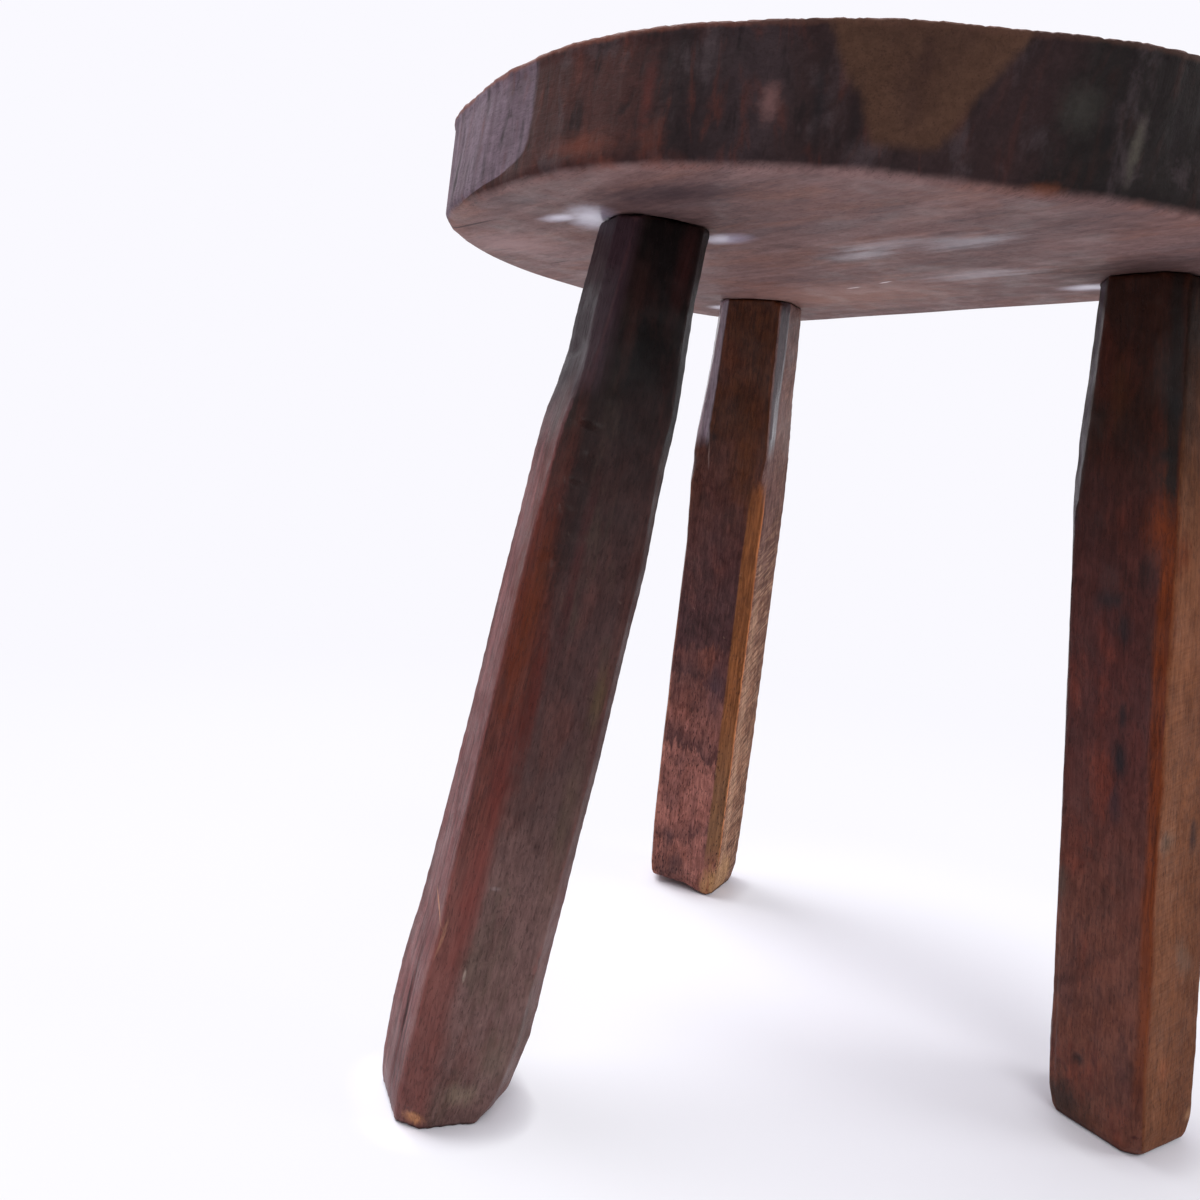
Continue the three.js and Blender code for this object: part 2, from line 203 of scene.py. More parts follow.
LEG_BACK_RIGHT = {
    "bearing": 26.7, "edge": 0.0339, "splay": 7.0, "leans": 57.0, "turn": -90,
    "stained": 0.42, "rasped": 84, "scratched": 0.08, "rasp_depth": 0.2, "right_dry": 0.6,
    "left_band": (-56, -34, 3), "right_band": (41.5, 51, 2.5), "sway": 14,
    "left_flat": 0.0, "right_flat": 0.9, "flat_height": (0.03, 0.24, 0.02),
    "neck_band": (41.5, 51, 2.5), "neck_dry": 1.0, "dry_edge": 0.1, "right_fades": (0.18, 0.275),
    "neck": 0.21, "neck_gloss": 0.0, "pared": 0.0, "flecked": 0.35, "rocks": 0.0,
    "left_share": 0.6, "right_share": 1.0,
    "tones": {
        "top": (48, 23, 14), "middle": (92, 50, 46), "foot": (124, 75, 60), "warm": (132, 61, 44),
        "cool": (78, 50, 50), "cloud": (66, 40, 38), "stain": (52, 34, 31), "knee": (30, 18, 14),
        "left": (84, 60, 62), "left_deep": (56, 38, 40), "left_top": (58, 38, 48),
        "right": (138, 87, 58), "right_deep": (98, 58, 40), "right_top": (34, 19, 13),
        "scratch": (150, 116, 96), "flat": (122, 54, 20), "flat_deep": (88, 38, 16),
        "flat_low": (126, 64, 36), "line": (112, 52, 24), "worn": (116, 66, 44), "pore": (32, 20, 19),
    },
    "borders": [(0.2, -0.6, 0.02, 0.35), (0.062, 0.9, 0.01, 0.3), (0.046, 0.8, 0.01, 0.3),
                (0.02, -0.3, 0.02, 0.35)],
    "marks": [
        mark((18.2, -0.3, 257), (6, 5, 17), (70, 36, 18), 0.7),
        mark((16, 15.5, 262), (5, 5, 24), (26, 17, 15), 0.8),
        mark((14.9, 16.4, 252), (4, 3, 9), (16, 11, 11), 0.8),
        mark((16.9, 15, 236.6), (4, 6, 3.6), (20, 14, 13), 0.8, turn=(0.4, 0, 0)),
        mark((17.7, 15.6, 214), (7, 7, 15), (112, 48, 17), 0.8),
        mark((12.5, 18.6, 205), (8, 5, 11), (100, 44, 18), 0.8),
        mark((19, 12, 200), (4, 3.5, 8), (34, 22, 21), 0.7),
        mark((16.4, 17.6, 184), (5, 5, 26), (98, 42, 14), 0.9),
        mark((19, -8, 8), (6, 20, 18), (72, 54, 45), 0.75),
        mark((19.5, 1.5, 190), (5, 9, 5), (46, 38, 40), 0.8),
        mark((19.5, 6, 180), (5, 5.5, 10), (42, 34, 36), 0.85),
        mark((19.4, 7.5, 152), (5, 3, 9), (40, 33, 36), 0.85),
        mark((19.3, 6.6, 137), (5, 5, 13), (38, 34, 38), 0.9),
        mark((19.4, 6, 122), (5, 4, 10), (58, 42, 48), 0.6),
        mark((19.4, -12, 90), (5, 4, 10), (78, 68, 60), 0.7),
        mark((19.7, -2.3, 28), (4, 3.6, 3.4), (34, 24, 24), 0.85),
        mark((19, -8, 12), (4, 7, 9), (52, 40, 36), 0.7),
        mark((17.3, 17.7, 8.7), (2, 1.6, 1.6), (60, 24, 20)),
        mark((11, 19.7, 111), (6, 4, 6), (118, 98, 84), 0.7),
        mark((-5, 19.7, 110), (4, 4, 9), (52, 42, 42), 0.8),
        mark((-1.5, 19.4, 68), (6, 4, 12), (110, 96, 84), 0.5, turn=(0, 0.5, 0)),
        mark((6.4, 19.2, 30), (6, 4, 7), (158, 92, 60), 0.5),
        mark((-11, 19, 8), (4, 4, 4), (170, 126, 92), 0.8),
    ],
    "dents": [
        (mm(15, -18, 235), mm(7, 6, 8), 0.0008),
        (mm(18, -10, 212), mm(6, 9, 9), 0.0006),
        (mm(19, -4, 196), mm(6, 9, 8), 0.0006),
        (mm(20, 3, 66), mm(4, 12, 6), 0.0006),
        (mm(20, 6, 50), mm(4, 12, 6), 0.0006),
        (mm(20, 0, 38), mm(4, 10, 5), 0.0004),
        (mm(19.7, -2.3, 28), mm(4, 3, 3), 0.0007),
        (mm(17, 17, 150), mm(4, 4, 9), 0.0005),
        (mm(12, 20, 111), mm(6, 4, 6), 0.0006),
    ],
    "fills": [
        {"side": -1, "up": (-0.02, 0.225), "reach": 0.0054, "fill": 0.0017},
    ],
    "trims": [(-75, 0.024, 0.234, -0.0014), (-75, -0.03, 0.05, -0.0006), (95, -0.03, 0.09, 0.001)],
}

LEGS = {"leg_front": LEG_FRONT, "leg_back_left": LEG_BACK_LEFT, "leg_back_right": LEG_BACK_RIGHT}

# The rim's stain: from which bearing on (degrees round from +X), how softly it begins, its tone
RIM_TONES = [
    (-180, 0, colour(82, 58, 56)),
    # The flat left end's lilac is in part paler stain and in part a painted reflection of the backdrop
    (-122, 2, colour(102, 84, 94)),
    (-83.4, 0.6, colour(68, 41, 38)),
    (-66, 4, colour(46, 35, 36)),
    (-58, 4, colour(60, 48, 50)),
    (-51, 3, colour(52, 38, 38)),
    (-24, 2, colour(36, 31, 30)),
    (0, 5, colour(42, 38, 35)),
    (16, 8, colour(66, 46, 42)),
    (60, 8, colour(84, 58, 52)),
    (150, 4, colour(66, 48, 46)),
]

# Checks, scuffs and stains on the underside and the rim, most of them dark and some pale, and broad
# painted shade round the tops of the front and back right legs
SEAT_MARKS = [
    mark((-60, -96, 290), (26, 0.9, 4), (54, 38, 38), 0.8, core=0.35, turn=(0, 0, 0.07)),
    mark((-88, -67, 290), (12, 0.8, 4), (58, 40, 40), 0.7, core=0.35, turn=(0, 0, 0.1)),
    mark((-88, -42, 290), (10, 0.7, 4), (58, 40, 40), 0.7, core=0.35),
    mark((-12, 47, 290), (5, 0.8, 3), (224, 214, 214), core=0.35, turn=(0, 0, -0.1)),
    mark((8, 43, 290), (5, 0.7, 3), (224, 214, 214), core=0.35, turn=(0, 0, -0.2)),
    # Painted shade on the underside round the front leg's top
    mark((20, -80, 290), (56, 22, 4), (84, 64, 64), 0.6),
    mark((4, -56, 290), (34, 26, 4), (48, 36, 37), 0.8),
    mark((45, -80, 290), (44, 17, 4), (60, 48, 52), 0.75, turn=(0, 0, 0.3)),
    # Painted shade on the underside round the back right leg's top
    mark((98, 60, 290), (40, 26, 4), (52, 38, 37), 0.7),
    mark((-75, -70, 290), (36, 30, 4), (156, 128, 124), 0.7),
    mark((-30, 60, 290), (90, 34, 4), (152, 112, 98), 0.6),
    mark((36, -109, 297), (20, 9, 6), (116, 60, 44), 0.45),
    mark((59, -101, 296), (6, 6, 9), (104, 54, 42), 0.4),
    mark((56, -101.5, 309), (3, 4, 16), (90, 42, 36), 0.5),
    mark((83.7, -83.6, 306), (4, 4, 7), (128, 92, 88), 0.6),
    mark((92.9, -75.4, 306), (3, 3, 17), (26, 23, 25), 0.8),
    mark((98.5, -68.5, 303), (4, 3, 17), (28, 22, 23), 0.8),
    mark((136.6, -10.7, 304), (3, 2.5, 14), (92, 86, 76), 0.6),
    mark((131, -26, 310), (7, 9, 9), (66, 64, 58), 0.5),
    mark((133.5, -18, 306), (3, 3, 18), (24, 22, 22), 0.8),
    mark((124.4, -26.3, 291.5), (7, 7, 2.6), (116, 64, 38), 0.5),
]

# Varnish that gathered round the legs, and smears of it: middle, size and turn. Their pale lilac is a
# painted reflection of the backdrop
VARNISH_POOLS = [
    ((-0.007, -0.077, 0.290), mm(24, 12, 6), (0, 0, -0.55)),
    ((-0.017, -0.083, 0.290), mm(14, 6, 6), (0, 0, 0.1)),
    ((0.010, -0.035, 0.290), mm(15, 9, 6), (0, 0, 0)),
    ((-0.108, 0.061, 0.290), mm(13, 9, 6), (0, 0, 0)),
    ((0.070, 0.078, 0.290), mm(15, 7, 6), (0, 0, 0)),
]
VARNISH_SMEARS = [
    ((0.076, 0.004, 0.290), mm(26, 12, 5), (0, 0, 0)),
    ((0.052, -0.004, 0.290), mm(30, 9, 5), (0, 0, 0)),
    ((0.034, 0.004, 0.290), mm(20, 8, 5), (0, 0, 0)),
    ((0.05, 0.045, 0.290), mm(34, 10, 5), (0, 0, 0)),
]

# Camera, at the photograph's place and angle
CAMERA_PLACE = (0.3046, -0.2624, 0.2140)
CAMERA_LOOKS = 146.7
CAMERA_DOWN = 7.5
CAMERA_ROLL = 6.4
CAMERA_LENS = 32.34

# Light: the backdrop's and the floor's colours, and the lamps by name, place, width and watts
BACKDROP = colour(250, 249, 255)
FLOOR = colour(243, 242, 250)
STOOL_MIDDLE = Vector((0, 0, 0.15))
LAMPS = [
    ("high lamp", (-0.8, -0.5, 1.5), 1.2, 24),
    ("front lamp", (1.0, -0.5, 1.3), 1.0, 7),
    ("side lamp", (0.9, 0.9, 0.8), 0.7, 6.5),
]

# The bare wood's shine and how rough its varnish is
WOOD_SHINE = 0.08
VARNISH_ROUGHNESS = 0.2


def heading(degrees):
    """A level unit vector at a bearing from +X."""
    turn = math.radians(degrees)
    return Vector((math.cos(turn), math.sin(turn), 0))


def leg_ends(leg):
    """Where the leg's middle line meets the seat's underside and the floor."""
    top = ROUND_MIDDLE.to_3d() + heading(leg["bearing"]) * (SEAT_RADIUS - leg["edge"])
    top.z = SEAT_UNDER
    foot = top + heading(leg["leans"]) * SEAT_UNDER * math.tan(math.radians(leg["splay"]))
    foot.z = 0
    return top, foot


def leg_axes(leg):
    """The leg's own axes: X out of its outer face, Y to that face's right, Z up its middle."""
    top, foot = leg_ends(leg)
    up = (top - foot).normalized()
    out = heading(leg["turn"])
    out = (out - up * out.dot(up)).normalized()
    side = up.cross(out)
    axes = Matrix((out, side, up)).transposed().to_4x4()
    axes.translation = foot
    return axes


def add_object(name, data):
    made = bpy.data.objects.new(name, data)
    bpy.context.collection.objects.link(made)
    return made


def add_shape(shape, name):
    mesh = bpy.data.meshes.new(name)
    shape.to_mesh(mesh)
    shape.free()
    return add_object(name, mesh)


# Camera

def add_camera():
    data = bpy.data.cameras.new("camera")
    data.lens = CAMERA_LENS
    data.sensor_width = 36
    data.sensor_fit = "HORIZONTAL"
    data.clip_start = 0.01
    data.clip_end = 50
    camera = add_object("camera", data)
    down = math.radians(CAMERA_DOWN)
    forward = heading(CAMERA_LOOKS) * math.cos(down) - Vector((0, 0, math.sin(down)))
    right = heading(CAMERA_LOOKS - 90)
    above = right.cross(forward)
    roll = math.radians(CAMERA_ROLL)
    tilted_right = right * math.cos(roll) + above * math.sin(roll)
    tilted_above = above * math.cos(roll) - right * math.sin(roll)
    camera.matrix_world = Matrix((tilted_right, tilted_above, -forward)).transposed().to_4x4()
    camera.location = CAMERA_PLACE
    bpy.context.scene.camera = camera


# Node helpers

def add(tree, kind, inputs=(), **settings):
    """One node with its settings and inputs; an input is a value or another node's output."""
    made = tree.nodes.new(kind)
    for name, value in settings.items():
        setattr(made, name, value)
    for name, value in dict(inputs).items():
        if isinstance(value, bpy.types.NodeSocket):
            tree.links.new(value, made.inputs[name])
        else:
            made.inputs[name].default_value = value
    return made


def tree_of(*values):
    """The node tree that the outputs among some values are in."""
    return next(value.id_data for value in values if isinstance(value, bpy.types.NodeSocket))


def maths(operation, a, b=0.5, clamp=False):
    return add(tree_of(a, b), "ShaderNodeMath", {0: a, 1: b}, operation=operation,
               use_clamp=clamp).outputs[0]


def times(a, b):
    return maths("MULTIPLY", a, b)


def plus(a, b, clamp=False):
    return maths("ADD", a, b, clamp)


def less(a, b, clamp=False):
    return maths("SUBTRACT", a, b, clamp)


def larger(a, b):
    return maths("MAXIMUM", a, b)


def swing(pattern, size):
    """A pattern from 0 to 1 as a swing about 0 of the given size."""
    return times(less(pattern, 0.5), size)


def between(value, low, high, to_low=0.0, to_high=1.0):
    """A value eased from to_low at low to to_high at high, and held beyond them."""
    sizes = {"Value": value, "From Min": low, "From Max": high, "To Min": to_low, "To Max": to_high}
    return add(tree_of(value), "ShaderNodeMapRange", sizes,
               interpolation_type="SMOOTHSTEP").outputs["Result"]


def blend(share, a, b, how="MIX"):
    """Colour a turned into colour b by a share."""
    sizes = {0: share, 6: a, 7: b}
    node = add(tree_of(share, a, b), "ShaderNodeMix", sizes, data_type="RGBA", blend_type=how)
    return node.outputs[2]


def lay(base, tone, *shares):
    """A tone laid over a base colour, by the product of the shares."""
    share = shares[-1]
    for other in reversed(shares[:-1]):
        share = times(other, share)
    return blend(share, base, tone)


def darken(base, share, pattern, low, high):
    """A base colour multiplied by a pattern that runs from one tone to another."""
    return blend(share, base, blend(pattern, colour(*low), colour(*high)), "MULTIPLY")


def relief(*layers):
    """The sum of patterns, each times its own height."""
    height = times(*layers[0])
    for pattern, amount in layers[1:]:
        height = plus(height, times(pattern, amount))
    return height


def speckle(place, scale, detail=4.0, rough=0.5, twist=0.0):
    sizes = {"Vector": place, "Scale": scale, "Detail": detail, "Roughness": rough, "Distortion": twist}
    return add(tree_of(place), "ShaderNodeTexNoise", sizes).outputs["Fac"]


def stretch(place, scale, turn=(0, 0, 0), move=(0, 0, 0)):
    """A place turned and stretched, for a pattern that runs one way."""
    sizes = {"Vector": place, "Scale": scale, "Rotation": turn, "Location": move}
    return add(tree_of(place), "ShaderNodeMapping", sizes, vector_type="POINT").outputs[0]


def new_group(name, inputs, outputs):
    """A shader node group that takes a place and named numbers and gives numbers: the group, its
    place, its other inputs and its outputs."""
    tree = bpy.data.node_groups.new(name, "ShaderNodeTree")
    tree.interface.new_socket(name="Place", in_out="INPUT", socket_type="NodeSocketVector")
    for label, value in inputs.items():
        socket = tree.interface.new_socket(name=label, in_out="INPUT", socket_type="NodeSocketFloat")
        socket.default_value = value
    for label in outputs:
        tree.interface.new_socket(name=label, in_out="OUTPUT", socket_type="NodeSocketFloat")
    given = tree.nodes.new("NodeGroupInput").outputs
    return tree, given["Place"], given, tree.nodes.new("NodeGroupOutput").inputs


def use(tree, group, **inputs):
    return add(tree, "ShaderNodeGroup", inputs, node_tree=group).outputs


def give(sockets, **values):
    """Links each value to the socket of its name, where _ stands for a space."""
    for name, value in values.items():
        tree_of(value).links.new(value, sockets[name.replace("_", " ")])


# Finishes that several materials share

def grain_group():
    """Long grain along Z: fine fibres, growth bands and short dark pores."""
    tree, place, given, out = new_group("wood_grain", {"Bands": 6.0}, ("Fibre", "Band", "Pore"))
    fibre = speckle(stretch(place, (1, 1, 0.07)), 900, 5, 0.7, 0.4)
    slow = speckle(stretch(place, (1, 1, 0.1)), 22, 2, 0.5, 0.6)
    wave = maths("SINE", times(slow, times(given["Bands"], 6.28)))
    pore = speckle(stretch(place, (1, 1, 0.22)), 1900, 1, 0.5)
    crowded = speckle(stretch(place, (1, 1, 0.5)), 70, 2, 0.5)
    pore = plus(pore, swing(crowded, 0.25))
    give(out, Fibre=fibre, Band=between(wave, -1.0, 1.0), Pore=between(pore, 0.6, 0.68))
    return tree


def patina_group():
    """Age: a fine leathery mottle, warmer and cooler clouds, and a few pale scuffs."""
    tree, place, _, out = new_group("patina", {}, ("Mottle", "Warm", "Cool", "Scuff"))
    mottle = speckle(stretch(place, (1, 1, 0.45)), 330, 6, 0.72, 0.5)
    warm = speckle(stretch(place, (1, 1, 0.35)), 60, 4, 0.65, 0.3)
    cool = speckle(stretch(place, (1, 1, 0.4), move=(3, 5, 7)), 75, 4, 0.65, 0.3)
    scuff = speckle(stretch(place, (1, 1, 0.6), move=(9, 2, 4)), 210, 5, 0.7, 0.8)
    give(out, Mottle=between(mottle, 0.32, 0.68), Warm=between(warm, 0.48, 0.66),
         Cool=between(cool, 0.5, 0.68), Scuff=between(scuff, 0.66, 0.76))
    return tree


def stain_group():
    """Darker stain soaked in unevenly, its lower edges ragged along the grain."""
    tree, place, given, out = new_group("stain_patches", {"Cover": 0.5}, ("Patch",))
    broad = speckle(stretch(place, (1, 1, 0.8)), 30, 3, 0.55, 0.5)
    ragged = speckle(stretch(place, (1, 1, 0.12)), 420, 4, 0.65)
    both = plus(broad, swing(ragged, 0.4))
    patch = less(both, less(1.0, given["Cover"]))
    give(out, Patch=between(patch, -0.06, 0.1))
    return tree


def figure_group():
    """A darker cloud that fades upwards from a ragged lower edge at a given height."""
    tree, place, given, out = new_group("cloud_edge", {"Height": 0.1, "Lean": 0.0, "Fade": 0.02},
                                        ("Cloud",))
    parts = add(tree, "ShaderNodeSeparateXYZ", {0: place}).outputs
    hanging = speckle(stretch(place, (1, 1, 0.09)), 700, 4, 0.7)
    swell = speckle(stretch(place, (1, 1, 0.3)), 90, 3, 0.6)
    edge = plus(swing(hanging, 0.02), swing(swell, 0.02))
    line = plus(given["Height"], times(given["Lean"], parts["Y"]))
    above = less(plus(parts["Z"], edge), line)
    cloud = times(between(above, -0.0006, 0.0012), between(above, 0.0, given["Fade"], 1.0, 0.0))
    give(out, Cloud=cloud)
    return tree


def wear_group():
    """Finish rubbed off where corners stand proud, and grime left in the hollows."""
    tree, place, given, out = new_group("corner_wear", {"Amount": 0.5}, ("Worn", "Grime"))
    proud = add(tree, "ShaderNodeAttribute", attribute_name="proud").outputs["Fac"]
    patchy = speckle(place, 55, 4, 0.6)
    push = swing(patchy, 1.3)
    level = plus(proud, push)
    worn = times(between(level, 0.3, 0.8), given["Amount"])
    give(out, Worn=worn, Grime=between(less(push, proud), 0.2, 0.9))
    return tree


def rasp_group():
    """Fine scratches of a rasp, running along Z of the place given, some of them pale."""
    tree, place, _, out = new_group("rasp_marks", {}, ("Marks", "Scratch"))
    marks = speckle(stretch(place, (1, 1, 0.05)), 1250, 2, 0.5)
    pale = speckle(stretch(place, (1, 1, 0.08), move=(2, 5, 1)), 1250, 2, 0.5)
    clumps = speckle(place, 90, 3, 0.6)
    pale = plus(pale, swing(clumps, 0.3))
    give(out, Marks=marks, Scratch=between(pale, 0.5, 0.62))
    return tree


def varnish_group():
    """How glossy the varnish is: thin and dry in places, smooth where it gathered."""
    tree, place, given, out = new_group("varnish", {"Gathered": 0.0, "Dry": 0.0},
                                        ("Roughness", "Coat", "Ripple"))
    patchy = speckle(place, 60, 5, 0.65)
    rough = between(patchy, 0.3, 0.7, 0.42, 0.6)
    rough = plus(rough, times(given["Dry"], 0.25))
    rough = less(rough, times(given["Gathered"], 0.22))
    coat = between(patchy, 0.35, 0.65, 0.16, 0.04)
    coat = less(coat, times(given["Dry"], 0.25), clamp=True)
    coat = plus(coat, times(given["Gathered"], 0.8), clamp=True)
    give(out, Roughness=rough, Coat=coat, Ripple=speckle(place, 170, 3, 0.55))
    return tree


GRAIN = grain_group()
PATINA = patina_group()
STAIN = stain_group()
FIGURE = figure_group()
WEAR = wear_group()
RASP = rasp_group()
VARNISH = varnish_group()


def new_material(name):
    material = bpy.data.materials.new(name)
    material.use_nodes = True
    tree = material.node_tree
    shader = tree.nodes["Principled BSDF"]
    shader.inputs["Specular IOR Level"].default_value = WOOD_SHINE
    shader.inputs["Coat Roughness"].default_value = VARNISH_ROUGHNESS
    return material, tree, shader


def object_place(tree):
    return add(tree, "ShaderNodeTexCoord").outputs["Object"]


def raise_surface(shader, height, distance):
    sizes = {"Height": height, "Distance": distance, "Strength": 1.0}
    bump = add(tree_of(height), "ShaderNodeBump", sizes)
    give(shader.inputs, Normal=bump.outputs[0])


def spot(place, middle, size, turn=(0, 0, 0), ragged=0.5, grain=(1, 1, 0.3), core=0.0):
    """A soft, ragged patch: 1 in the middle, 0 outside an ellipse of the given size."""
    sizes = {"Vector": place, "Location": middle, "Rotation": turn, "Scale": size}
    own = add(tree_of(place), "ShaderNodeMapping", sizes, vector_type="TEXTURE").outputs[0]
    reach = add(tree_of(own), "ShaderNodeVectorMath", {0: own}, operation="LENGTH").outputs["Value"]
    edge = speckle(stretch(place, grain), 420, 5, 0.7)
    reach = plus(reach, swing(edge, 2 * ragged))
    return between(reach, core, 1.0, 1.0, 0.0)


def band(value, start, end, soft):
    """1 between start and end, easing to 0 over soft on both sides."""
    return times(between(value, start - soft, start + soft),
                 between(value, end - soft, end + soft, 1.0, 0.0))


def total(masks):
    """The strongest of several masks."""
    strongest = masks[0]
    for mask in masks[1:]:
        strongest = larger(strongest, mask)
    return strongest


def draw_marks(place, marks, tint, grain=(1, 1, 0.3)):
    """A tint with the marks laid over it, each a soft ragged spot."""
    for middle, size, turn, shade, share, core in marks:
        mask = spot(place, middle, size, turn, grain=grain, core=core)
        tint = lay(tint, shade, mask, share)
    return tint


def leg_face(tree, way, low, high, wobble):
    """How much the surface looks along a way, with an uneven border."""
    normal = add(tree, "ShaderNodeTexCoord").outputs["Normal"]
    dot = add(tree, "ShaderNodeVectorMath", {0: normal, 1: tuple(way)}, operation="DOT_PRODUCT")
    return between(plus(dot.outputs["Value"], wobble), low, high)


def leg_wood(name, leg):
    """Wood of one leg, its grain along that leg, with its own faces and marks."""
    material, tree, shader = new_material(name)
    tones = {part: colour(*tone) for part, tone in leg["tones"].items()}
    frame_of_leg = leg_axes(leg)
    axes = frame_of_leg.to_3x3()
    sizes = {"Vector": object_place(tree), "Location": frame_of_leg.translation,
             "Rotation": axes.to_euler()}
    place = add(tree, "ShaderNodeMapping", sizes, vector_type="TEXTURE").outputs[0]
    parts = add(tree, "ShaderNodeSeparateXYZ", {0: place}).outputs
    up = parts["Z"]
    round_leg = times(maths("ARCTAN2", parts["Y"], parts["X"]), 180 / math.pi)
    grain = use(tree, GRAIN, Place=place)
    age = use(tree, PATINA, Place=place)
    uneven = speckle(stretch(place, (1, 1, 0.5)), 40, 5, 0.65)
    drift = less(uneven, 0.5)
    level = plus(up, times(drift, 0.1))
    steady = plus(up, times(drift, 0.02))

    # Dark at the top under the seat and redder and paler down to the foot: in part the wood's own tone,
    # in part painted shade under the seat
    body = blend(between(level, 0.04, 0.16), tones["foot"], tones["middle"])
    body = lay(body, tones["top"], between(level, 0.15, 0.25))
    lit = between(level, 0.12, 0.25, 1.0, 0.25)
    body = lay(body, tones["warm"], age["Warm"], lit, 0.6)
    body = lay(body, tones["cool"], age["Cool"], lit, 0.5)
    patch = use(tree, STAIN, Place=place, Cover=leg["stained"])["Patch"]
    body = lay(body, tones["stain"], patch, 0.4)
    for height, lean, fade, share in leg["borders"]:
        cloud = use(tree, FIGURE, Place=place, Height=height, Lean=lean, Fade=fade)["Cloud"]
        body = lay(body, tones["cloud"], cloud, share)

    # The faces on both sides of the outer one, rasped on the right
    wobble = times(drift, 0.2)
    left = leg_face(tree, -axes.col[1], 0.72, 0.88, wobble)
    right = leg_face(tree, axes.col[1], 0.74, 0.84, wobble)
    # The left face's tones and upright streaks; on the front leg these are in part a painted highlight
    upright = between(speckle(stretch(place, (1, 1, 0.025)), 420, 4, 0.65), 0.36, 0.64)
    side = blend(upright, tones["left_deep"], tones["left"])
    side = lay(side, tones["left_top"], between(steady, leg["neck"] - 0.03, leg["neck"] + 0.01))
    tint = blend(times(left, leg["left_share"]), body, side)
    across = stretch(place, (1, 1, 1), (0, math.radians(leg["rasped"]), 0))
    rasp = use(tree, RASP, Place=across)
    bare = blend(between(level, *leg["right_fades"]), tones["right"], tones["right_top"])
    shaded = between(round_leg, 60, 118, 0.0, 0.45)
    bare = lay(bare, tones["right_deep"], shaded)
    bare = lay(bare, tones["right_deep"], patch, 0.3)
    cut_low = between(steady, 0.16, 0.21, 1.0, 0.15)
    cut_in = between(rasp["Marks"], 0.36, 0.58, 0.15 + leg["scratched"], 0.0)
    bare = lay(bare, tones["right_deep"], cut_in, cut_low)
    bare = lay(bare, tones["scratch"], rasp["Scratch"], cut_low, leg["scratched"])
    tint = lay(tint, bare, right, leg["right_share"])

    tint = darken(tint, 0.4 + 0.5 * leg["flecked"], age["Mottle"], (168, 158, 160), (255, 255, 255))

    # The flats on the corners: redder lower down, glossy and grey at the neck
    sway = times(drift, leg["sway"])
    turned = plus(round_leg, sway)
    left_flat = band(turned, *leg["left_band"])
    right_flat = band(turned, *leg["right_band"])
    golden = blend(between(grain["Fibre"], 0.3, 0.7), tones["flat_deep"], tones["flat"])
    golden = lay(golden, tones["flat_low"], between(level, 0.04, 0.12, 0.8, 0.0))
    start, end = leg["right_band"][1] - 2, leg["right_band"][1] + 3
    golden = lay(golden, tones["line"], band(turned, start, end, 1.5), 0.8)
    shown = band(steady, *leg["flat_height"])
    flats = larger(times(left_flat, leg["left_flat"]), times(right_flat, leg["right_flat"]))
    tint = lay(tint, golden, flats, shown)
    rubbed = times(band(turned, end + 3, end + 18, 6), between(level, 0.13, 0.2, leg["dry_edge"], 0.0))
    tint = lay(tint, tones["scratch"], rubbed, between(rasp["Marks"], 0.35, 0.6, 0.3, 1.0))
    neck_flat = band(turned, *leg["neck_band"])
    neck = times(larger(left_flat, neck_flat), between(steady, leg["neck"] - 0.006, leg["neck"] + 0.006))
    tint = lay(tint, blend(left_flat, tones["knee"], tones["left_top"]), neck)

    # This leg's own marks, then fibres over all of it, worn corners and pores
    tint = draw_marks(place, leg["marks"], tint)
    fibres = between(grain["Fibre"], 0.35, 0.65)
    tint = darken(tint, 0.25 + 0.35 * leg["flecked"], fibres, (150, 134, 132), (255, 252, 250))
    wear = use(tree, WEAR, Place=place, Amount=0.6)
    worn = times(wear["Worn"], between(level, 0.06, 0.22, 1.0, 0.2))
    tint = lay(tint, tones["worn"], worn)
    tint = lay(tint, tones["stain"], wear["Grime"], 0.3)
    pores = times(grain["Pore"], between(level, 0.06, 0.2, 0.85 * leg["flecked"], 0.2))
    tint = lay(tint, tones["pore"], pores)
    tint = lay(tint, tones["scratch"], age["Scuff"], lit, 0.2)
    # Painted contact shadow, dark where it touches the floor, and worn dull end grain where the tenon
    # ends in the seat's top
    floor_gap = add(tree, "ShaderNodeSeparateXYZ", {0: object_place(tree)}).outputs["Z"]
    tint = lay(tint, tones["stain"], between(floor_gap, 0.0004, 0.0016, 0.8, 0.0))
    tenon_end = between(floor_gap, SEAT_TOP - 0.003, SEAT_TOP - 0.0015)
    rings = blend(grain["Band"], colour(84, 60, 50), colour(124, 92, 76))
    tint = lay(tint, rings, tenon_end)

    dry = times(right, between(steady, 0.2, 0.24, leg["right_dry"], leg["neck_dry"]))
    gloss = larger(times(neck, leg["neck_gloss"]), times(times(left, leg["neck_gloss"]), 0.4))
    dry = larger(dry, tenon_end)
    gloss = times(gloss, less(1.0, tenon_end))
    finish = use(tree, VARNISH, Place=place, Dry=dry, Gathered=gloss)
    give(shader.inputs, Base_Color=tint, Roughness=finish["Roughness"], Coat_Weight=finish["Coat"])
    rasped = times(times(right, cut_low), leg["rasp_depth"])
    height = relief((grain["Fibre"], 0.35), (age["Mottle"], 0.12), (upright, times(left, 0.2)),
                    (rasp["Marks"], rasped), (finish["Ripple"], 0.6), (grain["Pore"], -0.35))
    raise_surface(shader, height, 0.0004)
    return material


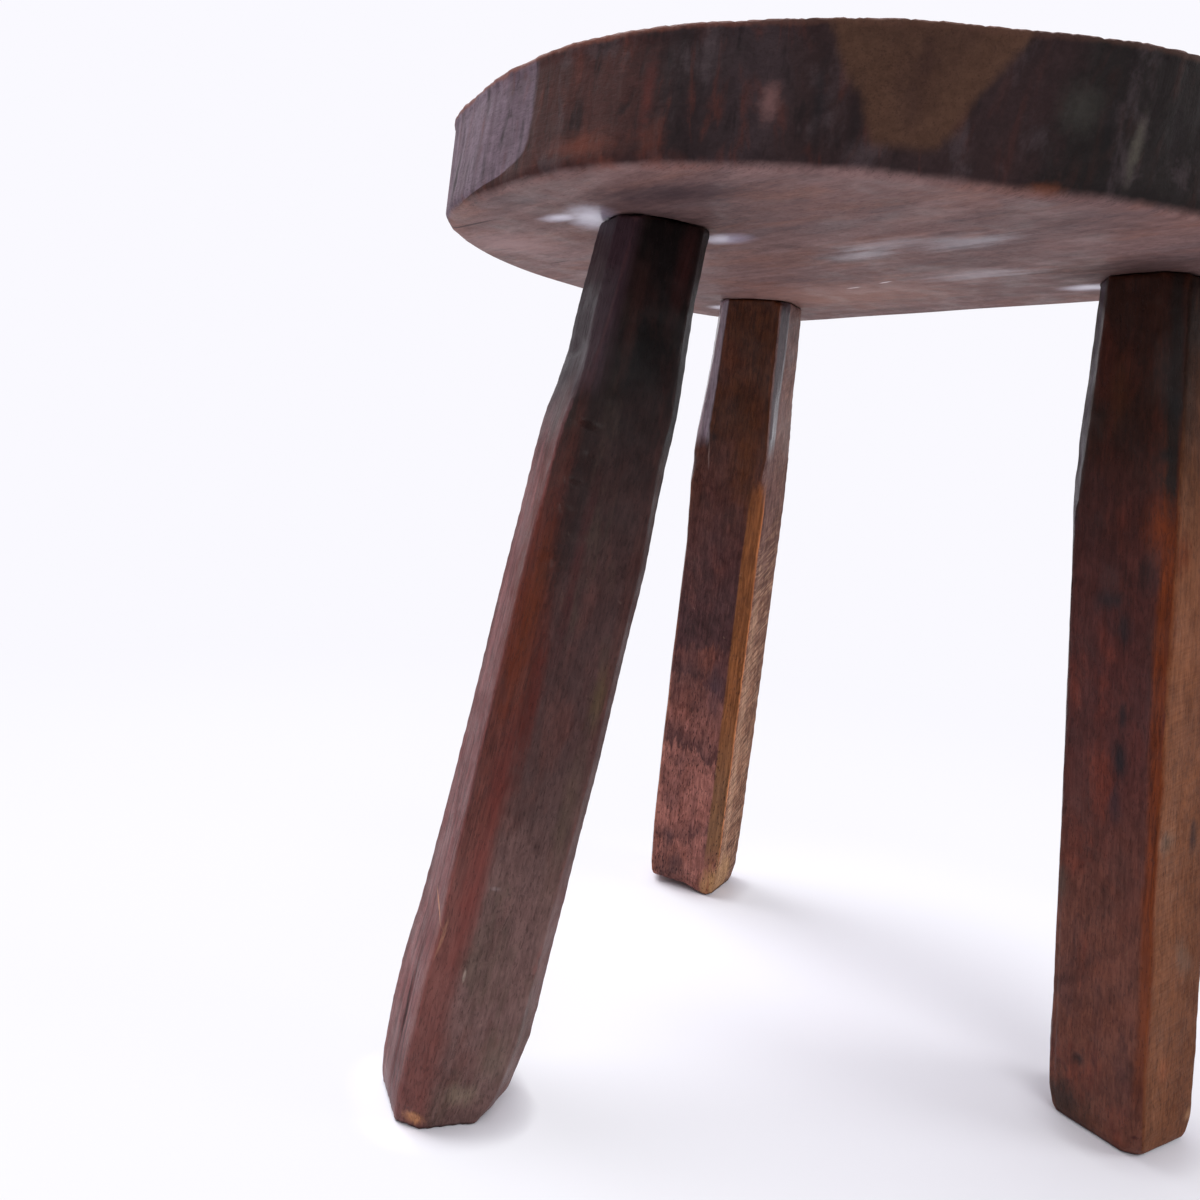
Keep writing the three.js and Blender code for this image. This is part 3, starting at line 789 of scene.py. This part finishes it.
def seat_wood():
    """Wood of the seat, its grain along X: paler faces, a dark hewn rim and worn corners."""
    material, tree, shader = new_material("seat_wood")
    place = object_place(tree)
    along = stretch(place, (1, 1, 1), (0, math.radians(-90), 0))
    parts = add(tree, "ShaderNodeSeparateXYZ", {0: place}).outputs
    normal = add(tree, "ShaderNodeSeparateXYZ", {0: add(tree, "ShaderNodeTexCoord").outputs["Normal"]})
    grain = use(tree, GRAIN, Place=along, Bands=9.0)
    age = use(tree, PATINA, Place=along)

    # The flat faces: pinkish brown, greyer and darker in cloudy streaks
    face = blend(grain["Band"], colour(124, 96, 92), colour(134, 106, 102))
    soiled = use(tree, STAIN, Place=along, Cover=0.44)["Patch"]
    face = lay(face, colour(92, 74, 74), soiled, 0.35)
    face = lay(face, colour(140, 98, 84), age["Warm"], 0.45)
    face = lay(face, colour(104, 92, 94), age["Cool"], 0.35)

    # The rim: streaks up and down in a dark stain that changes round it
    off_x = less(parts["X"], ROUND_MIDDLE.x)
    off_y = less(parts["Y"], ROUND_MIDDLE.y)
    bearing = times(maths("ARCTAN2", off_y, off_x), 180 / math.pi)
    drop = less(SEAT_TOP, parts["Z"])
    ring = add(tree, "ShaderNodeCombineXYZ", {0: times(bearing, 0.0025), 2: parts["Z"]}).outputs[0]
    streaks = speckle(stretch(ring, (1, 1, 0.3)), 170, 4, 0.6, 0.4)
    blotch = speckle(stretch(ring, (1, 1, 0.6)), 80, 5, 0.65, 0.3)
    unevenly = swing(blotch, 12)
    hook = times(maths("POWER", times(drop, 30.8), 12.0), 9.0)
    hook = times(hook, between(bearing, -84, -76, 1.0, 0.1))
    steadier = between(bearing, -84, -72, 0.08, 1.0)
    shifted = plus(plus(bearing, hook), times(unevenly, steadier))
    rim = RIM_TONES[0][2]
    for start, soft, tone in RIM_TONES[1:]:
        rim = lay(rim, tone, between(shifted, start - soft, start + soft))
    reds = times(between(streaks, 0.52, 0.68), between(bearing, -50, -20, 0.4, 0.1))
    rim = lay(rim, colour(98, 52, 42), reds)
    rim = lay(rim, colour(34, 27, 28), between(streaks, 0.48, 0.34), 0.7)
    rim = lay(rim, colour(84, 72, 74), between(blotch, 0.52, 0.68), 0.45)
    # A paler wedge-shaped patch at the front where the stain never took, wide at the top
    left_edge = plus(times(drop, 210), -47.9)
    right_edge = plus(times(drop, -260), -27.6)
    inside = maths("MINIMUM", less(bearing, left_edge), less(right_edge, bearing))
    patch = between(plus(inside, times(unevenly, 0.35)), -0.4, 1.2)
    patch = times(patch, between(drop, 0.027, 0.031, 1.0, 0.0))
    # The left end is paler: lighter stain, and a painted lilac reflection of the backdrop in broad
    # upright streaks
    pale_and_sheen_streaks = speckle(stretch(ring, (1, 1, 0.12)), 110, 2, 0.5)
    end_part = between(shifted, -84, -83, 1.0, 0.0)
    rim = lay(rim, colour(132, 114, 126), between(pale_and_sheen_streaks, 0.4, 0.62), end_part, 0.55)
    core = between(inside, 2.0, 7.0)
    unstained = blend(times(core, between(blotch, 0.3, 0.6, 1.0, 0.3)), colour(84, 59, 46),
                      colour(66, 45, 38))
    rim = lay(rim, unstained, patch)

    flatness = maths("ABSOLUTE", normal.outputs["Z"])
    wavy = plus(flatness, swing(blotch, 0.25))
    on_rim = between(wavy, 0.4, 0.95, 1.0, 0.0)
    tint = blend(on_rim, face, rim)
    tint = darken(tint, 0.5, age["Mottle"], (180, 176, 176), (255, 255, 255))
    fibres = between(grain["Fibre"], 0.3, 0.7)
    tint = darken(tint, 0.2, fibres, (150, 142, 140), (255, 252, 250))
    wear = use(tree, WEAR, Place=place, Amount=0.75)
    reddish = between(bearing, -60, -48, 1.0, 0.0)
    corner = blend(reddish, colour(96, 64, 52), colour(112, 62, 48))
    rubbed = times(wear["Worn"], between(bearing, -75, -40, 0.9, 0.4))
    tint = lay(tint, corner, rubbed)
    tint = lay(tint, colour(40, 26, 24), grain["Pore"], 0.3)
    # The seat's marks, with the painted shade round two legs' tops among them
    tint = draw_marks(place, SEAT_MARKS, tint, (0.3, 1, 1))
    pools = total([spot(place, *pool, 0.22, (0.4, 1, 1)) for pool in VARNISH_POOLS])
    smears = total([spot(place, *smear, 0.8, (0.12, 1, 1)) for smear in VARNISH_SMEARS])
    # The pools and smears are glossier and also painted pale lilac, a painted reflection of the backdrop
    # in the gathered varnish
    pale = larger(times(pools, 0.8), times(smears, 0.12))
    tint = lay(tint, colour(182, 174, 194), pale)

    gathered = larger(pools, times(smears, 0.4))
    dry = larger(times(on_rim, 0.6), 0.4)
    finish = use(tree, VARNISH, Place=along, Gathered=gathered, Dry=dry)
    give(shader.inputs, Base_Color=tint, Roughness=finish["Roughness"], Coat_Weight=finish["Coat"])
    height = relief((grain["Fibre"], 0.3), (finish["Ripple"], 0.7), (streaks, times(on_rim, 1.2)))
    raise_surface(shader, height, 0.0004)
    return material


def wedge_wood():
    """Paler wood of the wedges, end grain up."""
    material, tree, shader = new_material("wedge_wood")
    place = object_place(tree)
    grain = use(tree, GRAIN, Place=place, Bands=5.0)
    tint = blend(grain["Band"], colour(96, 64, 46), colour(128, 90, 64))
    tint = lay(tint, colour(50, 32, 24), grain["Pore"], 0.6)
    finish = use(tree, VARNISH, Place=place)
    give(shader.inputs, Base_Color=tint, Roughness=finish["Roughness"])
    raise_surface(shader, grain["Fibre"], 0.0002)
    return material


# Pieces

def solid_copy(node):
    """A closed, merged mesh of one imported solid."""
    shape = bmesh.new()
    shape.from_mesh(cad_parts[node].data)
    bmesh.ops.remove_doubles(shape, verts=shape.verts, dist=1e-6)
    return shape


def even_mesh(shape, name, cell):
    """The shape as an object of even small faces, ready to be worked."""
    piece = add_shape(shape, name)
    remesh = piece.modifiers.new("even faces", "REMESH")
    remesh.mode = "VOXEL"
    remesh.voxel_size = cell
    remesh.adaptivity = 0
    drawn = bpy.data.meshes.new_from_object(piece.evaluated_get(bpy.context.evaluated_depsgraph_get()))
    piece.modifiers.clear()
    coarse, piece.data = piece.data, drawn
    bpy.data.meshes.remove(coarse)
    drawn.name = name
    return piece


def drawn_shape(piece):
    shape = bmesh.new()
    shape.from_mesh(piece.data)
    return shape


def soften(shape, points, passes, factor=0.5):
    for _ in range(passes):
        bmesh.ops.smooth_vert(shape, verts=points, factor=factor, use_axis_x=True, use_axis_y=True,
                              use_axis_z=True)


def work_surface(piece, rounding, cut, pared=0.0):
    """Rounds the corners without shrinking the piece, more so below the height where its foot is
    pared, then moves each point as cut says."""
    shape = drawn_shape(piece)
    for _ in range(rounding):
        soften(shape, shape.verts, 1, 0.5)
        soften(shape, shape.verts, 1, -0.45)
    foot = [vertex for vertex in shape.verts if 0.001 < vertex.co.z < pared]
    if foot:
        soften(shape, foot, 10)
    shape.normal_update()
    for vertex in shape.verts:
        vertex.co += cut(vertex.co, vertex.normal)
    soften(shape, shape.verts, 1, 0.3)
    shape.to_mesh(piece.data)
    shape.free()


def mark_proud(piece, reach, passes):
    """Stores how far each point stands proud of a smoother surface, for the corner wear."""
    shape = drawn_shape(piece)
    shape.normal_update()
    start = [(vertex.co.copy(), vertex.normal.copy()) for vertex in shape.verts]
    soften(shape, shape.verts, passes)
    proud = piece.data.attributes.new("proud", "FLOAT", "POINT")
    for (place, normal), vertex, point in zip(start, shape.verts, proud.data):
        point.value = max(-1.0, min(1.0, (place - vertex.co).dot(normal) / reach))
    shape.free()


def eased(value):
    """0 to 1 with soft ends."""
    value = max(0.0, min(1.0, value))
    return value * value * (3 - 2 * value)


def dent(own, middle, size):
    """How deep in a hollow a point lies: 1 in its middle, 0 outside it."""
    off = Vector([(at - centre) / wide for at, centre, wide in zip(own, middle, size)])
    return eased(1 - off.length)


def hewing(own):
    """Shallow hollows of a drawknife, longer up the leg than across it."""
    slow = noise.noise(Vector((own.x * 28, own.y * 28, own.z * 13)))
    cuts = noise.voronoi(Vector((own.x * 75, own.y * 75, own.z * 28)))[0][0]
    chatter = noise.noise(Vector((own.x * 160, own.y * 160 + own.z * 90, own.z * 210)))
    return 0.00042 * slow + 0.0005 * (min(cuts, 1.0) - 0.4) + 0.00012 * chatter


def finish_piece(piece, node, material):
    piece.data.polygons.foreach_set("use_smooth", [True] * len(piece.data.polygons))
    piece.data.materials.clear()
    piece.data.materials.append(material)
    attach(piece, "root")
    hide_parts(node)


def corner_fill(own, looks, fill):
    """How far out a flat on a corner is built: up to a sharper corner nearer the outer face."""
    facing = eased(((looks.x + fill["side"] * looks.y) * math.sqrt(0.5) - 0.5) / 0.35)
    low, high = fill["up"]
    along = (own.x - fill["side"] * own.y) * math.sqrt(0.5)
    peak = fill["reach"] - fill["fill"]
    rise = (along + fill["reach"]) / (peak + fill["reach"])
    fall = (fill["reach"] - along) / (fill["reach"] - peak)
    height = eased((own.z - low) / FILL_EASE) * eased((high - own.z) / FILL_EASE)
    return fill["fill"] * max(0.0, min(rise, fall)) * facing * height


def side_trim(own, looks, degrees, low, high):
    """How far a point takes part in moving one side of the leg: 1 on that side, between two heights."""
    facing = eased((looks.dot(heading(degrees)) - 0.62) / 0.3)
    return facing * eased((own.z - low) / TRIM_EASE) * eased((high - own.z) / TRIM_EASE)


def make_leg(name, leg, material):
    piece = even_mesh(solid_copy(name), name + "_hewn", LEG_CELL)
    axes = leg_axes(leg)
    into_leg = axes.inverted()
    lift = Vector((0, 0, leg["turn"] * 0.01))

    def cut(place, normal):
        own = into_leg @ place
        if place.z > SEAT_UNDER - 0.001:
            return Vector()
        depth = hewing(own + lift) * eased(place.z / 0.004)
        for middle, size, deep in leg["dents"]:
            depth -= deep * dent(own, middle, size)
        move = normal * depth
        looks = into_leg.to_3x3() @ normal
        for fill in leg["fills"]:
            way = (axes.col[0] + axes.col[1] * fill["side"]).to_3d().normalized()
            move += way * corner_fill(own, looks, fill)
        for degrees, low, high, amount in leg["trims"]:
            way = axes.to_3x3() @ heading(degrees)
            move += way * (amount * side_trim(own, looks, degrees, low, high))
        raised = leg["rocks"] * eased((0.015 - own.y) / 0.014) * max(0.0, 1 - place.z / 0.006)
        return move + Vector((0, 0, raised))

    work_surface(piece, 5, cut, leg["pared"])
    mark_proud(piece, 0.0009, 16)
    finish_piece(piece, name, material)


def smooth_swell(swell, share):
    """How far the rim stands out at a share of a corner, drawn smoothly through the corners."""
    i = min(int(share), len(swell) - 2)
    before, start, end, after = (swell[max(0, min(len(swell) - 1, i + step))] for step in (-1, 0, 1, 2))
    t = share - i
    bend = 2 * before - 5 * start + 4 * end - after
    twist = 3 * (start - end) + after - before
    return start + 0.5 * t * (end - before + t * (bend + t * twist))


def flat_swell(swell, share, step):
    """The same for the solid's straight sides between corners."""
    i = min(int(share), len(swell) - 2)
    start, end = SEAT_RADIUS + swell[i] / 1000, SEAT_RADIUS + swell[i + 1] / 1000
    turned = (share - i) * step
    reach = start * end * math.sin(step) / (start * math.sin(turned) + end * math.sin(step - turned))
    return (reach - SEAT_RADIUS) * 1000


def rim_rounding(place):
    """Moves a point of the rim out from the solid's straight sides to a smooth round."""
    off = place.xy - ROUND_MIDDLE
    turned = (math.degrees(math.atan2(off.y, off.x)) - RIM_START) % 360
    sweep = 360 - 2 * (RIM_START - 90)
    share = turned / sweep * (len(UNDER_SWELL) - 1)
    if share > len(UNDER_SWELL) - 1:
        return Vector()
    step = math.radians(sweep / (len(UNDER_SWELL) - 1))
    height = eased((place.z - SEAT_UNDER) / (SEAT_TOP - SEAT_UNDER))
    under, top = ((smooth_swell(swell, share) - flat_swell(swell, share, step)) / 1000
                  for swell in (UNDER_SWELL, TOP_SWELL))
    gap = under * (1 - height) + top * height
    return (off.normalized() * gap * eased((off.length - RIM_INSIDE) / RIM_EASE)).to_3d()


def make_seat(material):
    piece = even_mesh(solid_copy("seat"), "seat_hewn", SEAT_CELL)

    def cut(place, normal):
        off = place.xy - ROUND_MIDDLE
        slow = noise.noise(place * 20)
        if off.length < RIM_INSIDE and abs(normal.z) < 0.7:
            return Vector()
        move = rim_rounding(place)
        if abs(normal.z) > 0.85:
            return move + Vector((0, 0, 0.00025 * slow))
        angle = math.atan2(off.y, off.x)
        cuts = noise.voronoi(Vector((angle * 11, place.z * 16, 3.0)))[0][0]
        sawn = noise.noise(Vector((angle * 62, place.z * 20, 1.0)))
        depth = 0.0003 * slow + 0.0007 * (min(cuts, 1.0) - 0.45) + 0.0002 * sawn
        corner = max(0.0, 1 - abs(abs(normal.z) - 0.6) / 0.45)
        if normal.z > 0:
            depth += 0.0017 * corner
        else:
            depth -= 0.0004 * corner * eased(0.5 + 1.2 * noise.noise(place * 20))
        return move + normal * depth

    work_surface(piece, 8, cut)
    mark_proud(piece, 0.0011, 10)
    finish_piece(piece, "seat", material)


def make_wedge(node, material):
    shape = solid_copy(node)
    bmesh.ops.dissolve_limit(shape, angle_limit=math.radians(1), verts=shape.verts, edges=shape.edges)
    piece = add_shape(shape, node + "_driven")
    finish_piece(piece, node, material)
    rounding = piece.modifiers.new("eased corners", "BEVEL")
    rounding.width = 0.00025
    rounding.segments = 2
    rounding.limit_method = "ANGLE"


# Floor, backdrop and light

def looked_at(tree):
    """1 for rays that show the background: the camera's, reflected ones and those through glass."""
    rays = add(tree, "ShaderNodeLightPath").outputs
    return total([rays["Is Camera Ray"], rays["Is Glossy Ray"], rays["Is Transmission Ray"]])


def add_floor():
    shape = bmesh.new()
    bmesh.ops.create_grid(shape, x_segments=1, y_segments=1, size=4.0)
    floor = add_shape(shape, "floor")
    material = bpy.data.materials.new("floor")
    material.use_nodes = True
    tree = material.node_tree
    shader = tree.nodes["Principled BSDF"]
    shader.inputs["Base Color"].default_value = FLOOR
    shader.inputs["Roughness"].default_value = 0.7
    shader.inputs["Specular IOR Level"].default_value = 0.1
    # Where it is looked at it is partly lit from below, as a light table is, least between the legs
    # and at the feet, and further out it is as white as the backdrop, so that no horizon shows
    shade = {0: object_place(tree), 1: (0.03, 0.09, 0)}
    reach = add(tree, "ShaderNodeVectorMath", shade, operation="DISTANCE").outputs["Value"]
    far = plus(between(reach, 0.03, 0.24, 0.1, 0.9), between(reach, 0.3, 0.8, 0.0, 0.1))
    near_foot = add(tree, "ShaderNodeAmbientOcclusion", {"Distance": 0.014}, samples=8).outputs["AO"]
    far = times(far, maths("POWER", near_foot, 5.0))
    white = add(tree, "ShaderNodeEmission", {"Color": BACKDROP, "Strength": 1.0})
    both = add(tree, "ShaderNodeMixShader",
               {0: times(far, looked_at(tree)), 1: shader.outputs[0], 2: white.outputs[0]})
    tree.links.new(both.outputs[0], tree.nodes["Material Output"].inputs["Surface"])
    floor.data.materials.append(material)


def add_lamp(name, place, size, watts):
    data = bpy.data.lights.new(name, "AREA")
    data.shape = "DISK"
    data.size = size
    data.energy = watts
    lamp = add_object(name, data)
    lamp.location = place
    lamp.rotation_euler = (STOOL_MIDDLE - Vector(place)).to_track_quat("-Z", "Y").to_euler()


def add_light():
    """A white studio, dimmer on the camera's side, and soft lamps above the stool."""
    world = bpy.data.worlds.new("studio")
    bpy.context.scene.world = world
    world.use_nodes = True
    tree = world.node_tree
    tree.nodes.clear()
    way = add(tree, "ShaderNodeTexCoord").outputs["Generated"]
    bright_side = heading(CAMERA_LOOKS + 20)
    dot = add(tree, "ShaderNodeVectorMath", {0: way, 1: tuple(bright_side)}, operation="DOT_PRODUCT")
    strength = between(dot.outputs["Value"], -0.4, 0.55, 0.18, 0.95)
    strength = add(tree, "ShaderNodeMix", {0: looked_at(tree), 2: strength, 3: 1.0}).outputs[0]
    back = add(tree, "ShaderNodeBackground", {"Color": BACKDROP, "Strength": strength})
    out = add(tree, "ShaderNodeOutputWorld")
    tree.links.new(back.outputs[0], out.inputs["Surface"])
    for lamp in LAMPS:
        add_lamp(*lamp)


def main():
    bpy.context.scene.view_settings.view_transform = "Standard"
    add_camera()
    add_light()
    add_floor()
    make_seat(seat_wood())
    for name, leg in LEGS.items():
        make_leg(name, leg, leg_wood(name + "_wood", leg))
    wedge = wedge_wood()
    for name in LEGS:
        make_wedge(name.replace("leg", "wedge"), wedge)


main()
